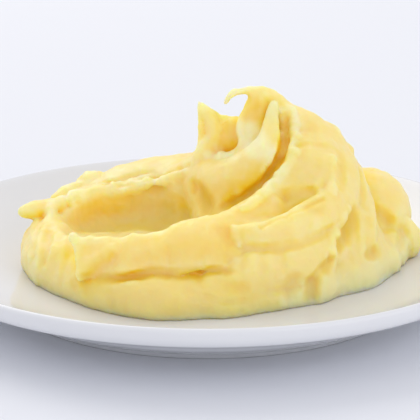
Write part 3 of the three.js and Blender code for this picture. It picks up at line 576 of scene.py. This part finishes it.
def mashField(p):
    # below zero inside the mash, in millimetres near its face
    p = p.astype(np.float32)
    value = np.full(len(p), 60, np.float32)
    shaped(p, value, heaped)
    roughened(p, value, mashLook["heapLumps"])
    shaped(p, value, drawn)
    shaped(p, value, marks)
    roughened(p, value, mashLook["skinLumps"])
    radius = np.hypot(p[:, 0], p[:, 1])
    return np.maximum(value, plateTop(radius) + mashLook["glazeGap"] - p[:, 2])


def spread(p, runs):
    # the strongest of the runs at each point, faded smoothly
    amount = np.zeros(len(p), np.float32)
    for strength, run in runs:
        near = np.all((p > run["low"]) & (p < run["high"]), 1)
        share = np.clip(1 - run["distance"](p[near].astype(np.float32)) / run["soft"], 0, 1)
        amount[near] = np.maximum(amount[near], strength * share * share * (3 - 2 * share))
    return amount


def inParts(function, p, most=200000):
    # keeps the memory small
    return np.concatenate([function(p[i:i + most]) for i in range(0, len(p), most)])


def sampleField(field, low, high, cell, coarse=4):
    # whole box at every fourth point, then every point close to the face
    low = np.array(low, float)
    count = np.ceil((np.array(high) - low) / (cell * coarse)).astype(int)
    axes = [low[k] + cell * coarse * np.arange(count[k] + 1) for k in range(3)]
    places = np.stack(np.meshgrid(*axes, indexing="ij"), -1).reshape(-1, 3)
    rough = inParts(field, places).reshape(count + 1)
    close = np.abs(rough) < 2.2 * cell * coarse  # a block's diagonal, and room for a steep field
    block = np.zeros(count, bool)
    for a, b, c in np.ndindex(2, 2, 2):
        block |= close[a:count[0] + a, b:count[1] + b, c:count[2] + c]
    size = count * coarse + 1
    fine = rough.repeat(coarse, 0).repeat(coarse, 1).repeat(coarse, 2)
    fine = fine[:size[0], :size[1], :size[2]].copy()
    wanted = np.zeros(size, bool)
    cells = block.repeat(coarse, 0).repeat(coarse, 1).repeat(coarse, 2)
    for a, b, c in np.ndindex(2, 2, 2):
        wanted[a:size[0] - 1 + a, b:size[1] - 1 + b, c:size[2] - 1 + c] |= cells
    fine[wanted] = inParts(field, low + np.argwhere(wanted) * cell)
    return low, fine


def fieldSlope(field, p, step=0.15):
    shifts = np.eye(3, dtype=np.float32) * step
    return np.stack([inParts(field, p + s) - inParts(field, p - s) for s in shifts], -1) / (2 * step)


def skinOver(field, low, high, cell):
    # one corner in each cell that the face crosses, one quad round each crossed edge
    low, value = sampleField(field, low, high, cell)
    inside = value < 0
    size = np.array(value.shape)
    held = sum(inside[a:size[0] - 1 + a, b:size[1] - 1 + b, c:size[2] - 1 + c].astype(np.int8)
               for a, b, c in np.ndindex(2, 2, 2))
    crossed = (held > 0) & (held < 8)
    cells = np.argwhere(crossed)
    number = np.full(size - 1, -1)
    number[crossed] = np.arange(len(cells))
    total, hits = np.zeros((len(cells), 3)), np.zeros(len(cells))
    for start in np.ndindex(2, 2, 2):
        for axis in range(3):
            if start[axis]:
                continue
            end = np.array(start) + np.eye(3, dtype=int)[axis]
            a = value[tuple((cells + start).T)]
            b = value[tuple((cells + end).T)]
            hit = (a < 0) != (b < 0)
            t = np.where(hit, a / np.where(hit, a - b, 1), 0)
            total += (np.array(start) + t[:, None] * (end - np.array(start))) * hit[:, None]
            hits += hit
    corners = low + (cells + total / hits[:, None]) * cell
    quads = []
    for axis in range(3):
        u, v = (axis + 1) % 3, (axis + 2) % 3
        here = [slice(1, n - 1) for n in size]
        there = list(here)
        here[axis], there[axis] = slice(0, size[axis] - 1), slice(1, size[axis])
        for outward in (True, False):
            a, b = inside[tuple(here)], inside[tuple(there)]
            edges = np.argwhere(a & ~b if outward else ~a & b) + np.where(np.arange(3) == axis, 0, 1)
            ring = []
            for du, dv in ((1, 1), (0, 1), (0, 0), (1, 0)):
                at = edges.copy()
                at[:, u] -= du
                at[:, v] -= dv
                ring.append(number[tuple(at.T)])
            ring = np.stack(ring, -1)
            quads.append(ring if outward else ring[:, ::-1])
    for _ in range(2):  # walk each corner onto the face
        slope = fieldSlope(field, corners)
        steep = np.maximum(0.25, (slope ** 2).sum(1))
        move = -(inParts(field, corners) / steep)[:, None] * slope
        far = np.linalg.norm(move, axis=1)[:, None] + 1e-9
        corners += move * np.minimum(1, 0.45 * cell / far)
    return corners, np.vstack(quads)


def creamyMash():
    # Boiled, riced and buttered potato: light goes a few millimetres in and comes out warmer, so thin
    # lips look pale and deep folds golden; the colour paints that in as well, painted golden shade in
    # folds and hollows and painted pale highlight on lips and crests; butter leaves a soft wet sheen.
    look = mashLook
    material, tree = newMaterial("buttered potato puree")
    place = addNode(tree, "ShaderNodeTexCoord").outputs["Object"]
    hollow, thin, painted_shade, painted_highlight = [
        addNode(tree, "ShaderNodeAttribute", {"attribute_name": name}).outputs["Fac"]
        for name in ("hollow", "thin", "painted_shade", "painted_highlight")]
    # butter and potato mixed unevenly, in patches
    patch = addNode(tree, "ShaderNodeTexNoise",
                    {"Scale": 1 / (look["butterPatch"] * mm), "Detail": 3.0, "Roughness": 0.55},
                    {"Vector": place})
    uneven = addNode(tree, "ShaderNodeMath", {"operation": "MULTIPLY_ADD", 1: 0.5, 2: -0.25},
                     {0: patch.outputs["Fac"]})
    # painted shade: the more shut in a point is, the further its colour goes from pale towards deep gold,
    # so folds and hollows are painted golden; the patches shift it only a little
    depth = addNode(tree, "ShaderNodeMath", {"operation": "ADD", "use_clamp": True},
                    {0: hollow, 1: uneven.outputs[0]})
    tint = addNode(tree, "ShaderNodeValToRGB", None, {"Fac": depth.outputs[0]})
    tint.color_ramp.elements[0].color = linear(look["paleMash"])
    tint.color_ramp.elements[1].color = linear(look["paintedCreaseShade"])
    tint.color_ramp.elements.new(0.6).color = linear(look["goldPatchAndShade"])
    # painted highlight: thin lips and crests are mixed towards the lip colour
    lips = addNode(tree, "ShaderNodeMapRange", {"From Min": 0.15, "From Max": 0.8, "To Max": 0.55},
                   {"Value": thin})
    # painted highlight: the runs' paleness is added to the lips'
    paintedPale = addNode(tree, "ShaderNodeMath", {"operation": "ADD", "use_clamp": True},
                      {0: lips.outputs[0], 1: painted_highlight})
    # the colour mixer's inputs 0, 6 and 7 are its share and its two colours, and output 2 the result
    paler = addNode(tree, "ShaderNodeMix", {"data_type": "RGBA", 7: linear(look["lipHighlight"])},
                    {0: paintedPale.outputs[0], 6: tint.outputs["Color"]})
    # painted shade: mixed towards the deeper gold along the shade runs
    colour = addNode(tree, "ShaderNodeMix", {"data_type": "RGBA", 7: linear(look["paintedShadeMash"])},
                     {0: painted_shade, 6: paler.outputs[2]})
    wet = addNode(tree, "ShaderNodeTexNoise", {"Scale": 1 / (look["wetPatch"] * mm), "Detail": 2.0},
                  {"Vector": place})
    sheen = addNode(tree, "ShaderNodeMapRange", {"To Min": look["wettest"], "To Max": look["dullest"]},
                    {"Value": wet.outputs["Fac"]})
    # riced grain over faint waves
    grain = addNode(tree, "ShaderNodeTexNoise", {"Scale": 1 / (look["grain"] * mm), "Detail": 2.0},
                    {"Vector": place})
    wave = addNode(tree, "ShaderNodeTexNoise", {"Scale": 1 / (look["wave"] * mm), "Detail": 2.0},
                   {"Vector": place})
    fine = addNode(tree, "ShaderNodeBump", {"Strength": 0.25, "Distance": look["grainHeight"] * mm},
                   {"Height": grain.outputs["Fac"]})
    bump = addNode(tree, "ShaderNodeBump", {"Strength": 0.7, "Distance": look["waveHeight"] * mm},
                   {"Height": wave.outputs["Fac"], "Normal": fine.outputs[0]})
    shader = addNode(tree, "ShaderNodeBsdfPrincipled",
                     {"IOR": look["ior"], "Subsurface Weight": 1.0,
                      "Subsurface Scale": look["lightReach"] * mm,
                      "Subsurface Radius": look["reachByColour"]},
                     {"Base Color": colour.outputs[2], "Roughness": sheen.outputs[0],
                      "Normal": bump.outputs[0]})
    addNode(tree, "ShaderNodeOutputMaterial", None, {"Surface": shader.outputs[0]})
    return material


def makeMash():
    cell = mashLook["cell"]
    corners, quads = skinOver(mashField, mashLook["low"], mashLook["high"], cell)
    mesh = bpy.data.meshes.new("mashed potato")
    mesh.from_pydata((corners * mm).tolist(), [], quads.tolist())
    mesh.shade_smooth()
    outward = fieldSlope(mashField, corners, 0.4)
    outward /= np.linalg.norm(outward, axis=1)[:, None] + 1e-6
    # how shut in each point is: off an open face, a step goes as far from the mash as it is long
    # painted shade: this measure sets how deep a golden shade is painted on
    offSteps = mashLook["shutInSteps"]
    hollow = sum(1 - inParts(mashField, corners + outward * step) / step for step in offSteps)
    hollow = hollow / len(offSteps)
    # and how thin: behind a lip the far face is soon met
    # painted highlight: this measure sets how pale thin lips are painted
    inSteps = mashLook["thinSteps"]
    thin = sum(1 + inParts(mashField, corners - outward * step) / step for step in inSteps)
    thin = thin / len(inSteps)
    amounts = {"hollow": hollow, "thin": thin,
               "painted_shade": spread(corners, paintedShadeRuns), "painted_highlight": spread(corners, paintedHighlightRuns)}
    for name, amount in amounts.items():
        layer = mesh.attributes.new(name, "FLOAT", "POINT")
        layer.data.foreach_set("value", np.clip(amount, 0, 1).astype(np.float32))
    mesh.materials.append(creamyMash())
    return addPiece("mashed_potato", mesh, "root", "mash")


mash = makeMash()
print("mash spooned", len(mash.data.polygons), "faces")


# a plain pale floor, soft light from a wide window high behind on the left, and the camera
studio = {
    "floor": "#E8EAF0", "floorHalf": 4.0,  # metres
    "sky": (0.9, 0.9, 0.93, 1.0), "skyPower": 0.94,
    # place in metres, size in metres, power in watts, colour
    "lights": [
        ("window", (-1.45, 2.4, 2.9), 3.0, 48, "#FFFBF4"),
        ("fill", (1.1, -0.9, 0.5), 1.4, 4, "#FFFFFF"),
    ],
    "lightAim": (0, 0, 0.03),
    "cameraPlace": (0.8, -455.0, 155.9), "cameraAim": (0.8, 0.0, 26.8), "lens": 113.66, "sensor": 36.0,
}


def turnedTo(target, place):
    return (target - place).to_track_quat("-Z", "Y").to_euler()


def makeFloor():
    half = studio["floorHalf"]
    mesh = bpy.data.meshes.new("floor")
    mesh.from_pydata([(-half, -half, 0), (half, -half, 0), (half, half, 0), (-half, half, 0)], [],
                     [(0, 1, 2, 3)])
    material, tree = newMaterial("matte paper backdrop")
    shader = addNode(tree, "ShaderNodeBsdfPrincipled",
                     {"Base Color": linear(studio["floor"]), "Roughness": 0.8, "Specular IOR Level": 0.2})
    addNode(tree, "ShaderNodeOutputMaterial", None, {"Surface": shader.outputs[0]})
    mesh.materials.append(material)
    floor = bpy.data.objects.new("floor", mesh)
    bpy.context.scene.collection.objects.link(floor)


def lightRoom():
    scene = bpy.context.scene
    world = bpy.data.worlds.new("soft room")
    scene.world = world
    world.use_nodes = True
    world.node_tree.nodes["Background"].inputs["Color"].default_value = studio["sky"]
    world.node_tree.nodes["Background"].inputs["Strength"].default_value = studio["skyPower"]
    for name, place, size, power, colour in studio["lights"]:
        data = bpy.data.lights.new(name, "AREA")
        data.size = size
        data.energy = power
        data.color = linear(colour)[:3]
        lamp = bpy.data.objects.new(name, data)
        scene.collection.objects.link(lamp)
        lamp.location = place
        lamp.rotation_euler = turnedTo(Vector(studio["lightAim"]), lamp.location)


def placeCamera():
    scene = bpy.context.scene
    data = bpy.data.cameras.new("camera")
    data.lens = studio["lens"]
    data.sensor_width = studio["sensor"]
    data.clip_start = 0.01
    camera = bpy.data.objects.new("camera", data)
    scene.collection.objects.link(camera)
    camera.location = Vector(studio["cameraPlace"]) * mm
    camera.rotation_euler = turnedTo(Vector(studio["cameraAim"]) * mm, camera.location)
    scene.camera = camera


makeFloor()
lightRoom()
placeCamera()
bpy.context.scene.view_settings.view_transform = "Standard"
print("studio lit")
